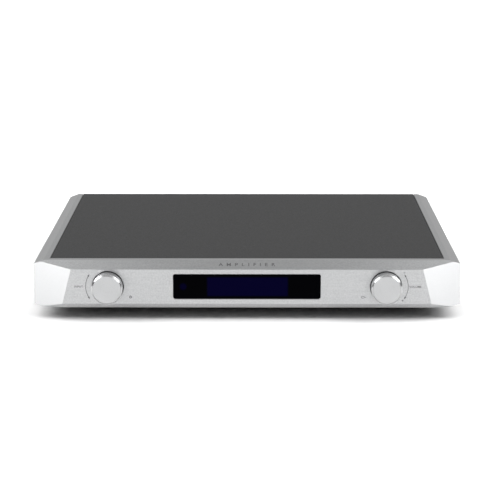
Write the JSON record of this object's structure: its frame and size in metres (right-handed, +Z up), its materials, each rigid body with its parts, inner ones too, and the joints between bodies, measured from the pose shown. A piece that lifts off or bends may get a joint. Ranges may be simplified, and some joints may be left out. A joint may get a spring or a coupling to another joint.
{
  "type": "integrated amplifier",
  "caption": "Slim hi-fi integrated amplifier: faceted aluminium front with push-and-turn controls and a wide display window, dark flush top plate, loudspeaker posts and mains inlet behind.",
  "frame": {"origin": "middle of the outer box, on the surface that the feet stand on", "axes": "+X to the right and +Y to the back as seen from the front, +Z up"},
  "size_m": [0.43, 0.372, 0.059],
  "materials": {
    "silver_case": "bead-blasted and satin anodised",
    "knob_metal": "spun and satin anodised",
    "bare_aluminium": "milled",
    "heatsink_black": "black anodised",
    "dark_cover": "fine textured dark grey powder coat",
    "rear_panel_paint": "satin black powder coat",
    "zinc_screws": "zinc plated",
    "black_screws": "black oxide",
    "foot_plastic": "moulded, fine texture",
    "pad_rubber": "matt",
    "window_acrylic": "gloss black acrylic",
    "display_glass": "dark blue display glass",
    "sensor_lens": "dark tinted lens",
    "circuit_board": "green solder mask",
    "black_plastic": "moulded",
    "rocker_plastic": "satin moulded",
    "socket_plastic": "moulded, white over red",
    "nickel": "nickel plated",
    "gold": "gold flashed",
    "fuse_glass": "glass tube with nickel caps",
    "transformer_wrap": "wound film wrap",
    "capacitor_sleeve": "shrink sleeve",
    "copper_wire": "enamelled copper winding",
    "red_post": "red moulding over a brass nut",
    "black_post": "black moulding over a brass nut"
  },
  "bodies": {
    "chassis": {"front_panel": "silver_case", "left_side_rail": "silver_case", "right_side_rail": "silver_case", "top_cover": "dark_cover", "bottom_plate": "dark_cover", "rear_panel": "rear_panel_paint", "corner_blocks": "bare_aluminium", "block_screws": "zinc_screws", "front_panel_screws": "zinc_screws", "rear_panel_screws": "black_screws", "top_cover_screws": "zinc_screws", "bottom_plate_screws": "black_screws", "feet": "foot_plastic", "foot_pads": "pad_rubber", "foot_screws": "black_screws", "display_window": "window_acrylic", "display_module": "display_glass", "display_board": "circuit_board", "infrared_sensor": "sensor_lens", "input_encoder": "black_plastic", "volume_encoder": "black_plastic", "encoder_nuts": "zinc_screws", "mains_inlet": "black_plastic", "inlet_pins": "nickel", "power_switch_frame": "black_plastic", "rca_insulators": "socket_plastic", "rca_shells": "gold", "usb_socket": "nickel", "trigger_jack": "black_plastic", "post_bases": "black_plastic", "post_studs": "gold", "toroidal_transformer": "transformer_wrap", "transformer_clamp_plate": "zinc_screws", "transformer_bolt": "zinc_screws", "power_board": "circuit_board", "amplifier_board": "circuit_board", "input_board": "circuit_board", "board_standoffs": "nickel", "board_screws": "zinc_screws", "reservoir_capacitors": "capacitor_sleeve", "bridge_rectifier": "black_plastic", "heatsink": "heatsink_black", "output_inductors": "copper_wire"},
    "input_plunger": {"input_plunger": "black_plastic"},
    "input_control": {"input_knob": "knob_metal", "input_shaft": "zinc_screws"},
    "volume_plunger": {"volume_plunger": "black_plastic"},
    "volume_control": {"volume_knob": "knob_metal", "volume_shaft": "zinc_screws"},
    "power_rocker": {"power_rocker": "rocker_plastic"},
    "fuse_drawer": {"fuse_drawer": "black_plastic", "fuse": "fuse_glass"},
    "post_washer_1": {"post_washer_1": "gold"},
    "post_cap_1": {"post_cap_1": "red_post"},
    "post_washer_2": {"post_washer_2": "gold"},
    "post_cap_2": {"post_cap_2": "black_post"},
    "post_washer_3": {"post_washer_3": "gold"},
    "post_cap_3": {"post_cap_3": "red_post"},
    "post_washer_4": {"post_washer_4": "gold"},
    "post_cap_4": {"post_cap_4": "black_post"}
  },
  "joints": [
    {"name": "input_push", "type": "slide", "parent": "chassis", "child": "input_plunger", "axis": [0, 1, 0], "range_m": [0, 0.0008], "stiffness_N_per_m": 3000, "springref_m": -0.0005},
    {"name": "input_turn", "type": "hinge", "parent": "input_plunger", "child": "input_control", "pos_m": [-0.1397, -0.17305, 0.0341], "axis": [0, 1, 0], "continuous": true},
    {"name": "volume_push", "type": "slide", "parent": "chassis", "child": "volume_plunger", "axis": [0, 1, 0], "range_m": [0, 0.0008], "stiffness_N_per_m": 3000, "springref_m": -0.0005},
    {"name": "volume_turn", "type": "hinge", "parent": "volume_plunger", "child": "volume_control", "pos_m": [0.1397, -0.17305, 0.0341], "axis": [0, 1, 0], "continuous": true},
    {"name": "rocker_tip", "type": "hinge", "parent": "chassis", "child": "power_rocker", "pos_m": [-0.118, 0.16345, 0.035], "axis": [1, 0, 0], "range_deg": [0, 20]},
    {"name": "fuse_drawer_pull", "type": "slide", "parent": "chassis", "child": "fuse_drawer", "axis": [0, 1, 0], "range_m": [0, 0.014]},
    {"name": "post_1_travel", "type": "slide", "parent": "chassis", "child": "post_washer_1", "axis": [0, 1, 0], "range_m": [0, 0.004]},
    {"name": "post_1_unscrew", "type": "hinge", "parent": "post_washer_1", "child": "post_cap_1", "pos_m": [0.072, 0.18605, 0.035], "axis": [0, 1, 0], "range_deg": [0, 1440]},
    {"name": "post_2_travel", "type": "slide", "parent": "chassis", "child": "post_washer_2", "axis": [0, 1, 0], "range_m": [0, 0.004]},
    {"name": "post_2_unscrew", "type": "hinge", "parent": "post_washer_2", "child": "post_cap_2", "pos_m": [0.05, 0.18605, 0.035], "axis": [0, 1, 0], "range_deg": [0, 1440]},
    {"name": "post_3_travel", "type": "slide", "parent": "chassis", "child": "post_washer_3", "axis": [0, 1, 0], "range_m": [0, 0.004]},
    {"name": "post_3_unscrew", "type": "hinge", "parent": "post_washer_3", "child": "post_cap_3", "pos_m": [0.022, 0.18605, 0.035], "axis": [0, 1, 0], "range_deg": [0, 1440]},
    {"name": "post_4_travel", "type": "slide", "parent": "chassis", "child": "post_washer_4", "axis": [0, 1, 0], "range_m": [0, 0.004]},
    {"name": "post_4_unscrew", "type": "hinge", "parent": "post_washer_4", "child": "post_cap_4", "pos_m": [0, 0.18605, 0.035], "axis": [0, 1, 0], "range_deg": [0, 1440]}
  ],
  "couplings": [
    {"joint": "post_1_unscrew", "follows": "post_1_travel", "rad_per_m": 6283.2},
    {"joint": "post_2_unscrew", "follows": "post_2_travel", "rad_per_m": 6283.2},
    {"joint": "post_3_unscrew", "follows": "post_3_travel", "rad_per_m": 6283.2},
    {"joint": "post_4_unscrew", "follows": "post_4_travel", "rad_per_m": 6283.2}
  ]
}
